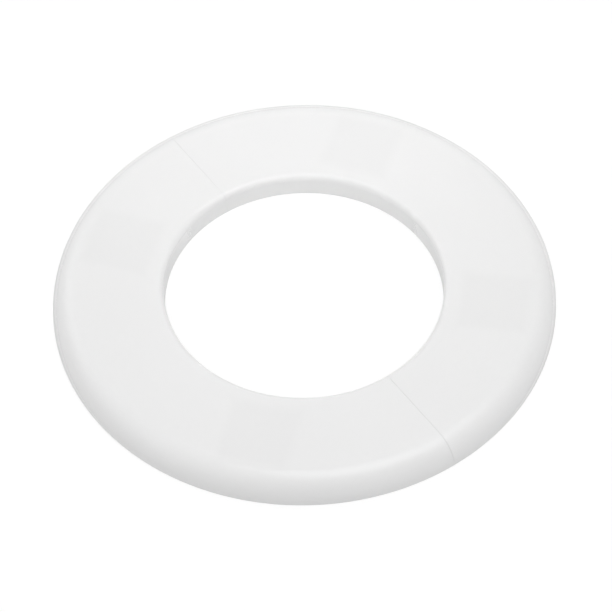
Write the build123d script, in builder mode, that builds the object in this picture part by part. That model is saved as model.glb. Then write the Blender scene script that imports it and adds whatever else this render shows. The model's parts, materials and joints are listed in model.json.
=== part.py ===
"""Split escutcheon plate: a flat plastic ring that covers the hole round a pipe.

The ring is two identical moulded halves. Each half is a hollow shell with a rounded rim, a collar
round the pipe and ribs behind its face. One end of a half carries a tapered tongue and the other a
socket, so two halves push together from both sides of a pipe that is already in place. Two pieces of
foam tape behind each face stick the plate to the wall.

Frame: the origin is the middle of the bore on the wall, +Z points out of the wall along the pipe,
and the seam between the halves lies along Y. Lengths are in millimetres, angles in degrees.
"""
from build123d import *

import os

# The pipe and the plate's outside
pipe_diameter = 60.3
pipe_clearance = 0.35
outer_diameter = 110.0
plate_height = 5.5
rim_land = 0.3
bore_edge_radius = 1.3

# The hairline that stays open between the halves
seam_gap = 0.04

# The hollow behind the face
wall = 1.6
end_wall = 1.6
back_setback = 0.3
rib_thickness = 1.1
rib_draft = 1.0

# Where the ribs stand, counted round a half from the end that carries its tongue
rib_angles = (22.0, 69.0, 90.0, 111.0, 158.0)

# The tongue of one half and the socket of the other
tongue_width = 9.0
tongue_thickness = 1.6
tongue_length = 7.0
tongue_draft = 1.5
tongue_root = 5.0
tip_chamfer = 0.3
tongue_fit = 0.05
tip_clearance = 0.5
socket_wall = 1.0

# The foam tape, laid by hand between the ribs: each piece's direction is counted from +X
tape_width = 15.0
tape_wall_margin = 2.1
tape_directions = {
    "left_upper_tape": 128.0,
    "left_lower_tape": 222.0,
    "right_upper_tape": 37.0,
    "right_lower_tape": 317.0,
}

# Sizes that follow from those above
bore_radius = pipe_diameter / 2 + pipe_clearance
outer_radius = outer_diameter / 2
rim_round = plate_height - rim_land
end_plane = Plane.YZ.offset(-seam_gap / 2)
collar_radius = bore_radius + wall
rim_inside_radius = outer_radius - wall
hollow_width = rim_inside_radius - collar_radius
hollow_middle = (collar_radius + rim_inside_radius) / 2
hollow_height = plate_height - wall
hollow_chamfer = (2 - 2**0.5) * (rim_round - wall)
tongue_middle = (back_setback + hollow_height) / 2
socket_width = tongue_width + 2 * tongue_fit
socket_height = tongue_thickness + 2 * tongue_fit
socket_depth = tongue_length + tip_clearance
ceiling_radius = rim_inside_radius - hollow_chamfer
ceiling_middle = (collar_radius + ceiling_radius) / 2
tape_length = ceiling_radius - collar_radius - 2 * tape_wall_margin

os.makedirs("parts", exist_ok=True)

# The hollow of the left half, with everything that stands inside it left out of the cut
with BuildPart() as hollow:
    # The chamfer follows the rim's round, and is a wall's thickness from it at its middle
    with BuildSketch(Plane.YZ) as hollow_section:
        with Locations((hollow_middle, hollow_height / 2)):
            Rectangle(hollow_width, hollow_height)
        rim_corner = hollow_section.vertices().group_by(Axis.Y)[-1].sort_by(Axis.X)[-1]
        chamfer(rim_corner, hollow_chamfer)
    revolve(axis=Axis.Z, revolution_arc=180)
    split(bisect_by=end_plane.offset(-end_wall), keep=Keep.BOTTOM)

    # Radial ribs, thinner towards the wall, that stop short of it
    with BuildSketch(Plane.XY.offset(hollow_height)) as rib_feet:
        for rib_angle in rib_angles:
            with PolarLocations(hollow_middle, 1, 90 + rib_angle):
                Rectangle(hollow_width + 2 * wall, rib_thickness)
    extrude(amount=back_setback - hollow_height, taper=rib_draft, mode=Mode.SUBTRACT)

    # The sleeve round the socket
    with BuildSketch(Plane.XY.offset(hollow_height)) as sleeve_foot:
        with Locations((0, -hollow_middle)):
            Rectangle(
                socket_depth + socket_wall,
                socket_width + 2 * socket_wall,
                align=(Align.MAX, Align.CENTER),
            )
    extrude(amount=back_setback - hollow_height, mode=Mode.SUBTRACT)

    # The block that carries the tongue behind its end wall
    with BuildSketch(Plane.XY.offset(hollow_height)) as root_foot:
        with Locations((0, hollow_middle)):
            Rectangle(end_wall + tongue_root, tongue_width, align=(Align.MAX, Align.CENTER))
    extrude(amount=tongue_middle - tongue_thickness / 2 - hollow_height, mode=Mode.SUBTRACT)

with BuildPart() as left_half:
    with BuildSketch(Plane.YZ) as plate_section:
        with Locations((bore_radius, 0)):
            Rectangle(outer_radius - bore_radius, plate_height, align=(Align.MIN, Align.MIN))
        bore_corner = plate_section.vertices().group_by(Axis.Y)[-1].sort_by(Axis.X)[0]
        fillet(bore_corner, bore_edge_radius)
        rim_corner = plate_section.vertices().group_by(Axis.Y)[-1].sort_by(Axis.X)[-1]
        fillet(rim_corner, rim_round)
    revolve(axis=Axis.Z, revolution_arc=180)
    split(bisect_by=end_plane, keep=Keep.BOTTOM)
    add(hollow.part, mode=Mode.SUBTRACT)

    # The socket tapers inwards as the tongue does, with the fit's clearance all round
    with BuildSketch(end_plane) as socket_mouth:
        with Locations((-hollow_middle, tongue_middle)):
            Rectangle(socket_width, socket_height)
    extrude(amount=-socket_depth, taper=tongue_draft, mode=Mode.SUBTRACT)

    with BuildSketch(end_plane) as tongue_foot:
        with Locations((hollow_middle, tongue_middle)):
            Rectangle(tongue_width, tongue_thickness)
    extrude(amount=tongue_length, taper=tongue_draft)
    tongue_tip = left_half.faces().sort_by(Axis.X)[-1]
    chamfer(tongue_tip.edges(), tip_chamfer)

# The other half is the same moulding turned round the pipe
with BuildPart() as right_half:
    add(left_half.part, rotation=(0, 0, 180))

left_half.part.label = "left_half"
right_half.part.label = "right_half"
export_step(left_half.part, "parts/left_half.step")
export_step(right_half.part, "parts/right_half.step")

# Each piece of foam tape fills the hollow from the wall to the flat back of the face
for tape_name, tape_direction in tape_directions.items():
    with BuildPart() as foam_tape:
        with BuildSketch() as tape_outline:
            with PolarLocations(ceiling_middle, 1, tape_direction):
                Rectangle(tape_length, tape_width)
        extrude(amount=hollow_height)
    foam_tape.part.label = tape_name
    export_step(foam_tape.part, f"parts/{tape_name}.step")
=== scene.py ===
# %% [markdown]
# # A split escutcheon plate
# This plate is the flat white ring that hides the hole round a pipe where it goes through a wall. Two
# moulded halves push together round the pipe, and foam tape behind the face sticks them to the wall. The
# pieces come in as finished solids at their real size. The halves stay as they are, and only the cut foam and
# the small pads that a mould leaves are shaped here. This lesson is about what makes plain white plastic look
# real: the camera, the finish, and light that shows a shape without any colour to help.

# %% Load the pieces
import json
import math

import bmesh
import bpy
from mathutils import Matrix, Vector


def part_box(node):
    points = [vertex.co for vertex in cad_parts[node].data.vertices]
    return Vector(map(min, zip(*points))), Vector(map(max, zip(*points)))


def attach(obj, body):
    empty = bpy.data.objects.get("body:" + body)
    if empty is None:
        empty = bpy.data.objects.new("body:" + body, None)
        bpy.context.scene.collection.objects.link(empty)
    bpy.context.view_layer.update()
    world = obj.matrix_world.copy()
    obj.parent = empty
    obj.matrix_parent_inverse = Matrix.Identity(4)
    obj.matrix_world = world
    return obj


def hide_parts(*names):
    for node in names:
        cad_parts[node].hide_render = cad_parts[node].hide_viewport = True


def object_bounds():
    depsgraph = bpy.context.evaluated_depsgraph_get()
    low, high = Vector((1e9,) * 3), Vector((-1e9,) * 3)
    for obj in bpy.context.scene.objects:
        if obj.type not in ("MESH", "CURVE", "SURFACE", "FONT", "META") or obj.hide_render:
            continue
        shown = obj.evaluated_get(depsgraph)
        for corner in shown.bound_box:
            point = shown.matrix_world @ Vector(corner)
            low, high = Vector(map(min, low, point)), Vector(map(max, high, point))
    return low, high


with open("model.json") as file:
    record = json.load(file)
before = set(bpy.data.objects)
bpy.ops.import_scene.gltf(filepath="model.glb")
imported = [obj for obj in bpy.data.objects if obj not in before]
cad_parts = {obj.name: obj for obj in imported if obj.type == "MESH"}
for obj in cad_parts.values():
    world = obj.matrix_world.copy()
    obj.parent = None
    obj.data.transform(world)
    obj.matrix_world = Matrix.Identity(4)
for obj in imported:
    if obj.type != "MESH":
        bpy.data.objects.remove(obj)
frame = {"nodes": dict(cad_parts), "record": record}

scene = bpy.context.scene
cad_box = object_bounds()
halves = [bpy.data.objects[name] for name in frame["nodes"] if name.endswith("_half")]
tapes = [bpy.data.objects[name] for name in frame["nodes"] if name.endswith("_tape")]
print("halves", [half.name for half in halves], "tapes", [tape.name for tape in tapes])

# %% [markdown]
# ## The plate's main sizes
# Later steps need to know where the face, the hollow and the tape are. Their sizes could be typed in again,
# but then a change to the solids would leave the finish behind. So the sizes are read from the loaded
# pieces, and only the wall's thickness, which no outside size can tell, is written down.

# %% Read the sizes
MM = 0.001
WALL = 1.6 * MM
mounts = {mount["name"]: mount for mount in frame["record"]["mounts"]}
BORE_RADIUS = mounts["pipe_bore"]["dims"]["r_mm"] * MM
OUTER_RADIUS = cad_box[1].y
PLATE_HEIGHT = cad_box[1].z
for title, size in (("bore", BORE_RADIUS), ("outside", OUTER_RADIUS), ("height", PLATE_HEIGHT)):
    print(title, round(size / MM, 2), "mm")

# %% [markdown]
# ## The camera
# The plate is seen from well above through a long lens, with the seam running away to the left. A camera
# can be placed by eye, but a long lens hides mistakes in distance. Here it stands at an azimuth, an
# elevation and a distance, rolls a little, and looks at a point worked out from where the bore's middle
# sits in the picture.

# %% Place the camera
IMAGE_SIZE = 612
SENSOR_MM = 36.0
FOCAL_PIXELS = 3201.2
AZIMUTH = math.radians(-33.8)
ELEVATION = math.radians(51.538)
ROLL = math.radians(-1.484)
DISTANCE = 0.70103
BORE_MIDDLE_PIXEL = (304.36, 298.96)

to_camera = Vector((
    math.sin(AZIMUTH) * math.cos(ELEVATION),
    -math.cos(AZIMUTH) * math.cos(ELEVATION),
    math.sin(ELEVATION),
))
level_right = Vector((math.cos(AZIMUTH), math.sin(AZIMUTH), 0.0))
level_up = to_camera.cross(level_right)
right = level_right * math.cos(ROLL) + level_up * math.sin(ROLL)
up = level_up * math.cos(ROLL) - level_right * math.sin(ROLL)

metres_per_pixel = DISTANCE / FOCAL_PIXELS
aim = right * (IMAGE_SIZE / 2 - BORE_MIDDLE_PIXEL[0]) * metres_per_pixel
aim -= up * (IMAGE_SIZE / 2 - BORE_MIDDLE_PIXEL[1]) * metres_per_pixel

lens = bpy.data.cameras.new("product_lens")
lens.sensor_width = SENSOR_MM
lens.lens = FOCAL_PIXELS * SENSOR_MM / IMAGE_SIZE
camera = bpy.data.objects.new("product_camera", lens)
scene.collection.objects.link(camera)
turn = Matrix((right, up, to_camera)).transposed().to_4x4()
camera.matrix_world = Matrix.Translation(aim + to_camera * DISTANCE) @ turn
scene.camera = camera
print("camera", [round(v, 3) for v in camera.matrix_world.translation], "lens", round(lens.lens, 1), "mm")

# %% [markdown]
# ## Small tools for node trees
# Every finish below is a node tree, built in code so that it can be read. A few short helpers keep it
# readable: one adds a node, one feeds a socket from a number or from another node, one does arithmetic, one
# makes a soft step, which is how a mask gets an edge that isn't razor sharp, and one mixes two colours.

# %% Node helpers
def add_node(tree, kind, **settings):
    node = tree.nodes.new("ShaderNode" + kind)
    for name, value in settings.items():
        setattr(node, name, value)
    return node


def feed(tree, socket, value):
    if isinstance(value, bpy.types.NodeSocket):
        tree.links.new(value, socket)
    else:
        socket.default_value = value


def maths(tree, operation, *values):
    node = add_node(tree, "Math", operation=operation)
    for socket, value in zip(node.inputs, values):
        feed(tree, socket, value)
    return node.outputs["Value"]


def ramp(tree, value, start, end, low=0.0, high=1.0):
    node = add_node(tree, "MapRange", interpolation_type="SMOOTHSTEP")
    settings = {"Value": value, "From Min": start, "From Max": end, "To Min": low, "To Max": high}
    for name, setting in settings.items():
        feed(tree, node.inputs[name], setting)
    return node.outputs["Result"]


def mix_colours(tree, share, first, second):
    node = add_node(tree, "Mix", data_type="RGBA")
    colours = [socket for socket in node.inputs if socket.type == "RGBA"]
    feed(tree, node.inputs["Factor"], share)
    feed(tree, colours[0], first)
    feed(tree, colours[1], second)
    return [socket for socket in node.outputs if socket.type == "RGBA"][0]


print("helpers ready")

# %% [markdown]
# ## Groups
# A group is a node tree of its own with sockets on the outside, like a part with terminals. Making one and
# placing one are always the same few lines, so they get helpers too. The sockets here are all plain numbers.

# %% Group helpers
def new_group(name, inputs, outputs):
    group = bpy.data.node_groups.new(name, "ShaderNodeTree")
    for socket in inputs:
        group.interface.new_socket(name=socket, in_out="INPUT", socket_type="NodeSocketFloat")
    for socket in outputs:
        group.interface.new_socket(name=socket, in_out="OUTPUT", socket_type="NodeSocketFloat")
    return group, group.nodes.new("NodeGroupInput"), group.nodes.new("NodeGroupOutput")


def place_group(tree, group, **values):
    node = add_node(tree, "Group", node_tree=group)
    for name, value in values.items():
        feed(tree, node.inputs[name], value)
    return node


print("group helpers ready")

# %% [markdown]
# ## Effects that the finishes share
# Two effects turn up in more than one finish. A fine grain breaks up the shine of plastic and paper. A slow
# drift, which no eye picks out until it is missing, keeps plastic, foam and paper from being the same all
# over. Both are noise in the piece's own coordinates, so they stay put when a half moves. Each is built
# once, with its scale as an input, and placed in the materials that need it.

# %% Grain and tone groups
GRAIN_DETAIL = 3.0
GRAIN_FINENESS = 0.6
DRIFT_DETAIL = 1.0

fine_grain, grain_in, grain_out = new_group("fine_grain", ["grains_per_metre"], ["grain"])
grain_spot = add_node(fine_grain, "TexCoord")
grain_noise = add_node(fine_grain, "TexNoise")
grain_noise.inputs["Detail"].default_value = GRAIN_DETAIL
grain_noise.inputs["Roughness"].default_value = GRAIN_FINENESS
feed(fine_grain, grain_noise.inputs["Vector"], grain_spot.outputs["Object"])
feed(fine_grain, grain_noise.inputs["Scale"], grain_in.outputs["grains_per_metre"])
feed(fine_grain, grain_out.inputs["grain"], grain_noise.outputs["Fac"])

tone_drift, drift_in, drift_out = new_group("tone_drift", ["clouds_per_metre"], ["drift"])
drift_spot = add_node(tone_drift, "TexCoord")
drift_noise = add_node(tone_drift, "TexNoise")
drift_noise.inputs["Detail"].default_value = DRIFT_DETAIL
feed(tone_drift, drift_noise.inputs["Vector"], drift_spot.outputs["Object"])
feed(tone_drift, drift_noise.inputs["Scale"], drift_in.outputs["clouds_per_metre"])
feed(tone_drift, drift_out.inputs["drift"], drift_noise.outputs["Fac"])
print("groups", fine_grain.name, "and", tone_drift.name)

# %% Use noise to make a value uneven
NOISE_LOW = 0.3
NOISE_HIGH = 0.7


def uneven(tree, noise, value, spread):
    return maths(tree, "ADD", ramp(tree, noise, NOISE_LOW, NOISE_HIGH, -spread, spread), value)


print("noise from", NOISE_LOW, "to", NOISE_HIGH, "is spread about a value")

# %% [markdown]
# ## The tape's painted shadow on the face
# The face is thin and a little translucent, and where foam tape backs it the tape holds back light that
# would come through, so the white there is a shade greyer in a faint square. That is painted shade: real
# translucency would be slow and would show little more. A mask is enough: a group turns a point of the plate
# into distances along and across one piece of tape, and gives 1 inside its outline, with a soft edge.

# %% A group for one piece of tape
tape_patch, patch_in, patch_out = new_group(
    "tape_patch", ["direction", "distance", "side", "softness"], ["mask"]
)
patch_spot = add_node(tape_patch, "TexCoord")
patch_turn = add_node(tape_patch, "VectorRotate", rotation_type="Z_AXIS", invert=True)
feed(tape_patch, patch_turn.inputs["Vector"], patch_spot.outputs["Object"])
feed(tape_patch, patch_turn.inputs["Angle"], patch_in.outputs["direction"])
patch_axes = add_node(tape_patch, "SeparateXYZ")
feed(tape_patch, patch_axes.inputs["Vector"], patch_turn.outputs["Vector"])
along = maths(tape_patch, "SUBTRACT", patch_axes.outputs["X"], patch_in.outputs["distance"])
along = maths(tape_patch, "ABSOLUTE", along)
across = maths(tape_patch, "ABSOLUTE", patch_axes.outputs["Y"])
reach = maths(tape_patch, "MAXIMUM", along, across)
edge = maths(tape_patch, "MULTIPLY", patch_in.outputs["side"], 0.5)
edge_start = maths(tape_patch, "SUBTRACT", edge, patch_in.outputs["softness"])
edge_end = maths(tape_patch, "ADD", edge, patch_in.outputs["softness"])
feed(tape_patch, patch_out.inputs["mask"], ramp(tape_patch, reach, edge_start, edge_end, 1.0, 0.0))
print("group", tape_patch.name)

# %% Find each piece of tape
tape_places = []
for tape in tapes:
    low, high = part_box(tape.name)
    middle = (low + high) / 2
    direction = math.atan2(middle.y, middle.x)
    side = (high.x - low.x) / (abs(math.cos(direction)) + abs(math.sin(direction)))
    tape_places.append((direction, math.hypot(middle.x, middle.y), side))
    print(tape.name, "at", round(math.degrees(direction), 1), "degrees, side", round(side / MM, 2), "mm")

# %% [markdown]
# ## White moulded plastic
# The halves are injection moulded. The side that shows was polished in the mould, so it is smooth with a
# satin shine. The hollow side was shaped by a turned steel core that nobody polished, so it is duller, with
# fine rings from the lathe, except where the flat ends of the pins that push the moulding out met it. Two
# materials would need the mesh cut up, so one material does both, and a mask in the piece's own coordinates
# says which side a point is on. At a glancing angle a perfect surface would mirror the white floor and lose
# its outline. The grain of real plastic breaks that mirror up, so a Layer Weight makes it rougher there.

# %% Start the plastic
def new_finish(name):
    finish = bpy.data.materials.new(name)
    finish.use_nodes = True
    return finish, finish.node_tree, finish.node_tree.nodes["Principled BSDF"]


plastic, tree, shader = new_finish("white_moulded_plastic")
spot = add_node(tree, "TexCoord")
axes = add_node(tree, "SeparateXYZ")
feed(tree, axes.inputs["Vector"], spot.outputs["Object"])
x_size = maths(tree, "ABSOLUTE", axes.outputs["X"])
y_size = maths(tree, "ABSOLUTE", axes.outputs["Y"])


def length(tree, x, y):
    x_squared = maths(tree, "MULTIPLY", x, x)
    return maths(tree, "SQRT", maths(tree, "MULTIPLY_ADD", y, y, x_squared))


radius = length(tree, x_size, y_size)
print("material", plastic.name)

# %% Tell the hollow side from the face
EDGE = 0.05 * MM
hollow_inside = BORE_RADIUS + WALL
hollow_outside = OUTER_RADIUS - WALL
hollow_ceiling = PLATE_HEIGHT - WALL
core_side = maths(tree, "GREATER_THAN", radius, hollow_inside - EDGE)
for inside in (
    maths(tree, "LESS_THAN", radius, hollow_outside + EDGE),
    maths(tree, "LESS_THAN", axes.outputs["Z"], hollow_ceiling + EDGE),
    maths(tree, "GREATER_THAN", x_size, WALL / 2),
):
    core_side = maths(tree, "MULTIPLY", core_side, inside)
print("hollow from", round(hollow_inside / MM, 2), "to", round(hollow_outside / MM, 2), "mm from the middle")

# %% Colour the plastic
PLASTIC_WHITE = 0.84
TAPE_SHADOW_DARKENING = 0.021
DRIFT_SHADE = 0.012
CORE_SHADE = 0.03
TAPE_SOFTNESS = 1.5 * MM
PLASTIC_CLOUDS_PER_METRE = 22.0

shade = maths(tree, "MULTIPLY", core_side, CORE_SHADE)
# Painted shade: each piece of tape darkens the face over it, for the light it blocks in the thin plastic.
for direction, distance, side in tape_places:
    patch = place_group(
        tree, tape_patch, direction=direction, distance=distance, side=side, softness=TAPE_SOFTNESS
    )
    shade = maths(tree, "MULTIPLY_ADD", patch.outputs["mask"], TAPE_SHADOW_DARKENING, shade)
drift = place_group(tree, tone_drift, clouds_per_metre=PLASTIC_CLOUDS_PER_METRE).outputs["drift"]
shade = uneven(tree, drift, shade, DRIFT_SHADE / 2)
white = maths(tree, "MULTIPLY", maths(tree, "SUBTRACT", 1.0, shade), PLASTIC_WHITE)
feed(tree, shader.inputs["Base Color"], white)
print("white", PLASTIC_WHITE, "and tape makes it", round(TAPE_SHADOW_DARKENING * 100, 1), "per cent darker")

# %% Give it its shine
FACE_ROUGHNESS = 0.24
CORE_ROUGHNESS = 0.46
FACE_UNEVENNESS = 0.02
FACING_BLEND = 0.5
GLANCING_ROUGHNESS = 0.6
GLANCING_START = 0.55
GLANCING_END = 0.95
GRAINS_PER_METRE = 3000.0
grain = place_group(tree, fine_grain, grains_per_metre=GRAINS_PER_METRE).outputs["grain"]
rough = uneven(tree, grain, FACE_ROUGHNESS, FACE_UNEVENNESS)
rough = maths(tree, "MULTIPLY_ADD", core_side, CORE_ROUGHNESS - FACE_ROUGHNESS, rough)
weight = add_node(tree, "LayerWeight")
weight.inputs["Blend"].default_value = FACING_BLEND
glance = ramp(tree, weight.outputs["Facing"], GLANCING_START, GLANCING_END, 0.0, GLANCING_ROUGHNESS)
feed(tree, shader.inputs["Roughness"], maths(tree, "ADD", rough, glance))
print("roughness", FACE_ROUGHNESS, "on the face and", CORE_ROUGHNESS, "in the hollow")

# %% Press in the grain and the rings
GRAIN_DEPTH = 0.003 * MM
LATHE_PITCH = 0.4 * MM
LATHE_DEPTH = 0.008 * MM
PIN_RADIUS = 2.0 * MM
PIN_ANGLE = math.radians(10.5)


def press_in(tree, shader, height):
    bump = add_node(tree, "Bump")
    bump.inputs["Distance"].default_value = 1.0
    feed(tree, bump.inputs["Height"], height)
    feed(tree, shader.inputs["Normal"], bump.outputs["Normal"])


pin_distance = (hollow_inside + hollow_outside) / 2
pin_x = maths(tree, "SUBTRACT", x_size, pin_distance * math.cos(PIN_ANGLE))
pin_y = maths(tree, "SUBTRACT", y_size, pin_distance * math.sin(PIN_ANGLE))
turned = ramp(tree, length(tree, pin_x, pin_y), PIN_RADIUS - EDGE, PIN_RADIUS + EDGE)
lathe = maths(tree, "SINE", maths(tree, "MULTIPLY", radius, 2 * math.pi / LATHE_PITCH))
rings = maths(tree, "MULTIPLY", maths(tree, "MULTIPLY", lathe, LATHE_DEPTH), turned)
height = maths(tree, "MULTIPLY", rings, core_side)
press_in(tree, shader, maths(tree, "MULTIPLY_ADD", grain, GRAIN_DEPTH, height))

for half in halves:
    half.data.materials.clear()
    half.data.materials.append(plastic)
print("plastic on", [half.name for half in halves])

# %% [markdown]
# ## Foam for the tape
# The tape is closed-cell foam with glue on both sides. Foam could be given real bubbles, but they are a
# fraction of a millimetre across, and thousands of them would swamp the mesh. A cell pattern in the bump,
# and a little of it in the colour, reads as foam from any distance at which the tape can be seen.

# %% Make the foam
CELLS_PER_METRE = 3000.0
CELL_DEPTH = 0.06 * MM
FOAM_DARK = (0.58, 0.58, 0.56, 1.0)
FOAM_PALE = (0.76, 0.76, 0.74, 1.0)
CELL_CONTRAST = 0.9
FOAM_ROUGHNESS = 0.85
FOAM_UNEVENNESS = 0.05
FOAM_CLOUDS_PER_METRE = 250.0

foam, tree, shader = new_finish("closed_cell_foam")
spot = add_node(tree, "TexCoord")
cells = add_node(tree, "TexVoronoi")
cells.inputs["Scale"].default_value = CELLS_PER_METRE
feed(tree, cells.inputs["Vector"], spot.outputs["Object"])
drift = place_group(tree, tone_drift, clouds_per_metre=FOAM_CLOUDS_PER_METRE).outputs["drift"]
cell_shade = maths(tree, "MULTIPLY_ADD", cells.outputs["Distance"], -CELL_CONTRAST, 1.0)
feed(tree, shader.inputs["Base Color"], mix_colours(tree, cell_shade, FOAM_DARK, FOAM_PALE))
feed(tree, shader.inputs["Roughness"], uneven(tree, drift, FOAM_ROUGHNESS, FOAM_UNEVENNESS))
press_in(tree, shader, maths(tree, "MULTIPLY", cells.outputs["Distance"], CELL_DEPTH))
print("foam cells", round(1 / CELLS_PER_METRE / MM, 2), "mm across")

# %% [markdown]
# ## Paper over the glue
# Until the plate goes on the wall, waxed paper keeps the glue clean. It is cream, smoother than the foam, and
# has the faint cloudiness of paper pulp. The drift group gives the clouds and the grain group the fibres.

# %% Make the paper
PAPER_DARK = (0.76, 0.71, 0.60, 1.0)
PAPER_PALE = (0.80, 0.76, 0.66, 1.0)
PAPER_ROUGHNESS = 0.42
PAPER_UNEVENNESS = 0.04
PULP_CLOUDS_PER_METRE = 900.0
PULP_LOW = 0.25
PULP_HIGH = 0.75
FIBRE_DEPTH = 0.006 * MM

paper, tree, shader = new_finish("waxed_paper")
drift = place_group(tree, tone_drift, clouds_per_metre=PULP_CLOUDS_PER_METRE).outputs["drift"]
grain = place_group(tree, fine_grain, grains_per_metre=GRAINS_PER_METRE).outputs["grain"]
pulp = ramp(tree, drift, PULP_LOW, PULP_HIGH)
feed(tree, shader.inputs["Base Color"], mix_colours(tree, pulp, PAPER_DARK, PAPER_PALE))
feed(tree, shader.inputs["Roughness"], uneven(tree, grain, PAPER_ROUGHNESS, PAPER_UNEVENNESS))
press_in(tree, shader, maths(tree, "MULTIPLY", grain, FIBRE_DEPTH))
print("material", paper.name)

# %% [markdown]
# ## The shape of cut foam
# The solid tape is a sharp block, and cut foam never is. The cutter squeezes the foam before it goes through,
# so the sides spring back hollow, wander a little, and meet in rounded corners. A block could be bevelled and
# pushed about by hand. Here the outline is drawn once and stacked in layers, and each layer is drawn in by an
# amount that follows a half wave from one face to the other, so the hollow is one number.

# %% Draw the outline
CORNER = 0.6 * MM
CORNER_STEPS = 5
POINT_SPACING = 0.9 * MM


def rounded_outline(length_along, width_across):
    rounds = []
    for quarter, (x, y) in enumerate(((1, 1), (-1, 1), (-1, -1), (1, -1))):
        middle = Vector((x * (length_along / 2 - CORNER), y * (width_across / 2 - CORNER)))
        for step in range(CORNER_STEPS + 1):
            angle = (quarter + step / CORNER_STEPS) * math.pi / 2
            rounds.append(middle + CORNER * Vector((math.cos(angle), math.sin(angle))))
    points = []
    for start, end in zip(rounds, rounds[1:] + rounds[:1]):
        steps = max(1, round((end - start).length / POINT_SPACING))
        points += [start.lerp(end, step / steps) for step in range(steps)]
    return points


print("outline points", len(rounded_outline(tape_places[0][2], tape_places[0][2])))

# %% Stack outlines into a block
def stack_layers(bm, outline, layers, middle, material_index):
    rings = []
    for height, draw_in in layers:
        ring = []
        for point in outline:
            shrink = 1.0 - draw_in(point) / point.length
            ring.append(bm.verts.new((middle + point.x * shrink, point.y * shrink, height)))
        rings.append(ring)
    faces = [bm.faces.new(list(reversed(rings[0]))), bm.faces.new(rings[-1])]
    for below, above in zip(rings, rings[1:]):
        for here in range(len(outline)):
            after = (here + 1) % len(outline)
            side_face = bm.faces.new((below[here], below[after], above[after], above[here]))
            side_face.smooth = True
            faces.append(side_face)
    for face in faces:
        face.material_index = material_index
    return [vert for ring in rings for vert in ring]


def drawn_in(amount):
    return lambda point: amount


def finished_mesh(bm, name, finishes):
    mesh = bpy.data.meshes.new(name)
    bm.to_mesh(mesh)
    bm.free()
    for finish in finishes:
        mesh.materials.append(finish)
    return mesh


print("stacking ready")

# %% Cut the foam and lay the paper
FOAM_LAYERS = 10
SIDE_HOLLOW = 0.35 * MM
SIDE_WANDER = 0.08 * MM
WANDER_WAVES = ((9, 3), (23, -5))
PAPER_THICKNESS = 0.08 * MM
GLUE_THICKNESS = 0.03 * MM
PAPER_SLIT = 0.2 * MM
SHARP_ANGLE = math.radians(45.0)


def foam_layer(share):
    def draw_in(point):
        around = math.atan2(point.y, point.x)
        wander = sum(math.sin(waves * around + lean * share) for waves, lean in WANDER_WAVES)
        return math.sin(math.pi * share) * (SIDE_HOLLOW + SIDE_WANDER * wander)
    return draw_in


def tape_mesh(name, side, thickness):
    bm = bmesh.new()
    foam_foot = PAPER_THICKNESS + GLUE_THICKNESS
    shares = [layer / FOAM_LAYERS for layer in range(FOAM_LAYERS + 1)]
    layers = [(foam_foot + share * (thickness - foam_foot), foam_layer(share)) for share in shares]
    stack_layers(bm, rounded_outline(side, side), layers, 0.0, 0)
    half = (side - PAPER_SLIT) / 2
    sheet_layers = [(0.0, drawn_in(0.0)), (PAPER_THICKNESS, drawn_in(0.0))]
    for middle in (-(half + PAPER_SLIT) / 2, (half + PAPER_SLIT) / 2):
        stack_layers(bm, rounded_outline(half, side), sheet_layers, middle, 1)
    mesh = finished_mesh(bm, name, [foam, paper])
    mesh.set_sharp_from_angle(angle=SHARP_ANGLE)
    return mesh


print("foam sides are drawn in by", round(SIDE_HOLLOW / MM, 2), "mm")

# %% [markdown]
# ## The tape in its place
# Each piece of cut foam takes the place of one solid block: it is turned to the block's direction, moved out
# to its distance from the middle, and rides on the half that it is stuck to.

# %% Stick the tape on
def place_piece(mesh):
    piece = bpy.data.objects.new(mesh.name, mesh)
    scene.collection.objects.link(piece)
    print(piece.name, "with", len(mesh.polygons), "faces")
    return piece


for tape, (direction, distance, side) in zip(tapes, tape_places):
    low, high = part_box(tape.name)
    mesh = tape_mesh(tape.name.replace("tape", "foam"), side, high.z - low.z)
    mesh.transform(Matrix.Rotation(direction, 4, "Z") @ Matrix.Translation((distance, 0.0, low.z)))
    piece = place_piece(mesh)
    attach(piece, tape.name.split("_")[0])
    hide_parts(tape.name)

# %% [markdown]
# ## Pads left by the pins
# When the mould opens, steel pins push each half off the core. Their ends are set a hair below the core, so
# each leaves a low round pad behind the face. It could be a bump in the finish, but it is a real step in the
# plastic, so it is stacked from circles in the same way as the foam from its outline, with a worn edge and
# with its root sunk into the face.

# %% Stack the pads
PAD_HEIGHT = 0.1 * MM
PAD_ROOT = 0.05 * MM
PAD_POINTS = 64
PAD_EDGE = ((0.0, 0.06 * MM), (0.02 * MM, 0.02 * MM), (0.06 * MM, 0.0))

turns = [2 * math.pi * step / PAD_POINTS for step in range(PAD_POINTS)]
circle = [PIN_RADIUS * Vector((math.cos(angle), math.sin(angle))) for angle in turns]
pad_layers = [(hollow_ceiling - PAD_HEIGHT + rise, drawn_in(amount)) for rise, amount in PAD_EDGE]
pad_layers.append((hollow_ceiling + PAD_ROOT, drawn_in(0.0)))
for body, half_middle in (("left", math.pi), ("right", 0.0)):
    bm = bmesh.new()
    for angle in (half_middle - PIN_ANGLE, half_middle + PIN_ANGLE):
        pad = stack_layers(bm, circle, pad_layers, pin_distance, 0)
        bmesh.ops.rotate(bm, verts=pad, cent=(0.0, 0.0, 0.0), matrix=Matrix.Rotation(angle, 3, "Z"))
    piece = place_piece(finished_mesh(bm, body + "_pin_pads", [plastic]))
    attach(piece, body)

# %% [markdown]
# ## The floor
# A product photo on white has a floor that can't be seen, only its shadow. A bright enough floor would light
# the plate from below like a lamp, so the floor does two jobs. For light that bounces it is plain pale paint,
# and for the camera and for reflections it is part paint and part glow, which adds up to white. The paint
# still takes the plate's shadow, so a soft edge of grey stays where the plate sits down.

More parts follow.
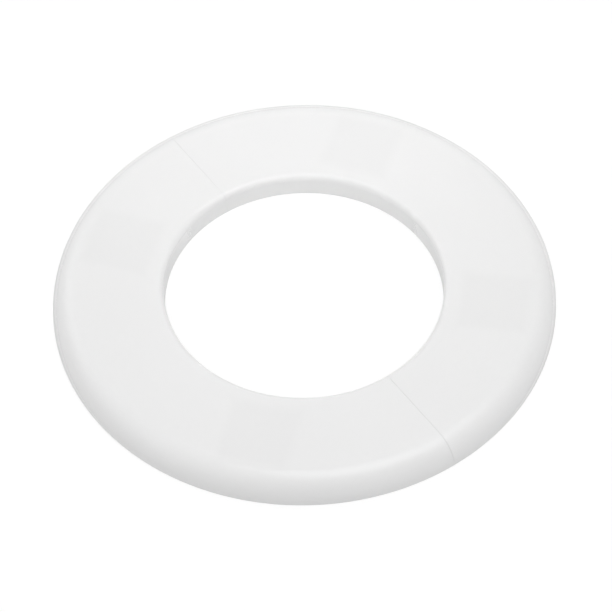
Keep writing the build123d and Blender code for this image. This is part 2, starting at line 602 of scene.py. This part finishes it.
# %% Lay the floor
FLOOR_SIDE = 3.0
FLOOR_DROP = 0.05 * MM
FLOOR_PAINT = 0.85
SHOWN_PAINT = 0.22
FLOOR_GLOW = 0.80


def seen_directly(tree):
    path = add_node(tree, "LightPath")
    either = maths(tree, "MAXIMUM", path.outputs["Is Camera Ray"], path.outputs["Is Glossy Ray"])
    return maths(tree, "MAXIMUM", either, path.outputs["Is Transmission Ray"])


bpy.ops.mesh.primitive_plane_add(size=FLOOR_SIDE, location=(0.0, 0.0, cad_box[0].z - FLOOR_DROP))
floor = bpy.context.object
floor.name = "floor"
floor_paint, tree, shader = new_finish("floor_paint")
tree.nodes.remove(shader)
shown = seen_directly(tree)
paint = add_node(tree, "BsdfDiffuse")
glow = add_node(tree, "Emission")
both = add_node(tree, "AddShader")
feed(tree, paint.inputs["Color"], ramp(tree, shown, 0.0, 1.0, FLOOR_PAINT, SHOWN_PAINT))
feed(tree, glow.inputs["Strength"], maths(tree, "MULTIPLY", shown, FLOOR_GLOW))
feed(tree, both.inputs[0], paint.outputs["BSDF"])
feed(tree, both.inputs[1], glow.outputs["Emission"])
feed(tree, tree.nodes["Material Output"].inputs["Surface"], both.outputs["Shader"])
floor.data.materials.append(floor_paint)
print("floor", FLOOR_SIDE, "m square, paint", FLOOR_PAINT)

# %% [markdown]
# ## The surroundings
# White plastic takes most of its light from all round, as in a tent of white cloth. The world is that tent.
# An even tent would light the foot of the rim as well as its top, and the outline would fade into a white
# floor. So the cloth is brighter overhead than at the sides, by the height of the direction that the light
# comes from. It lights the plate at less than full strength, so that the soft boxes still have something to
# add, but the camera and reflections see it as plain white.

# %% Put up the white tent
WHITE = (1.0, 1.0, 1.0, 1.0)
TENT_SIDES = 0.42
TENT_TOP = 0.875
world = bpy.data.worlds.new("white_tent")
scene.world = world
world.use_nodes = True
tree = world.node_tree
tent = tree.nodes["Background"]
tent.inputs["Color"].default_value = WHITE
tent_spot = add_node(tree, "TexCoord")
tent_axes = add_node(tree, "SeparateXYZ")
feed(tree, tent_axes.inputs["Vector"], tent_spot.outputs["Generated"])
rise = maths(tree, "MAXIMUM", tent_axes.outputs["Z"], 0.0)
tent_light = maths(tree, "MULTIPLY_ADD", rise, TENT_TOP - TENT_SIDES, TENT_SIDES)
feed(tree, tent.inputs["Strength"], ramp(tree, seen_directly(tree), 0.0, 1.0, tent_light, 1.0))
print("tent light", TENT_SIDES, "at the sides and", TENT_TOP, "overhead")

# %% [markdown]
# ## The soft boxes
# Light from all round makes a flat picture. One box hangs overhead: its reflection is the bright line along
# the rounded rim, which is what tells the eye how round the rim is. A box behind on the left models the left
# rim. The wall of the bore faces the camera just as the near rim does, so any plain lamp in front would light
# both. A small box with a grid keeps its beam narrow and is aimed past the middle, so it reaches the far face
# and the bore and leaves the near rim alone. It is kept out of reflections, because seen from behind it would
# burn a white patch into the face. Each box is placed to the right of, beyond and above the plate as the
# camera sees it.

# %% Hang the soft boxes
away = Vector((-math.sin(AZIMUTH), math.cos(AZIMUTH), 0.0))


def soft_box(name, to_right, beyond, above, side, watts, aimed_beyond=0.0, beam=180.0, mirrored=True):
    light = bpy.data.lights.new(name, "AREA")
    light.size = side
    light.energy = watts
    light.spread = math.radians(beam)
    box = bpy.data.objects.new(name, light)
    scene.collection.objects.link(box)
    box.visible_glossy = mirrored
    box.location = level_right * to_right + away * beyond + Vector((0.0, 0.0, above))
    box.rotation_euler = (box.location - away * aimed_beyond).to_track_quat("Z", "Y").to_euler()
    print(name, [round(v, 2) for v in box.location], "m", watts, "W")


soft_box("overhead_box", to_right=0.11, beyond=0.04, above=0.59, side=0.36, watts=0.80)
soft_box("left_back_box", to_right=-0.35, beyond=0.35, above=0.40, side=0.30, watts=0.25)
soft_box(
    "gridded_box", to_right=0.0, beyond=-0.38, above=0.38, side=0.10, watts=0.0074,
    aimed_beyond=0.08, beam=16.0, mirrored=False,
)

# %% [markdown]
# ## Finish
# The Standard view shows colours about as they are written, which suits a white product.

# %% Finish
scene.view_settings.view_transform = "Standard"
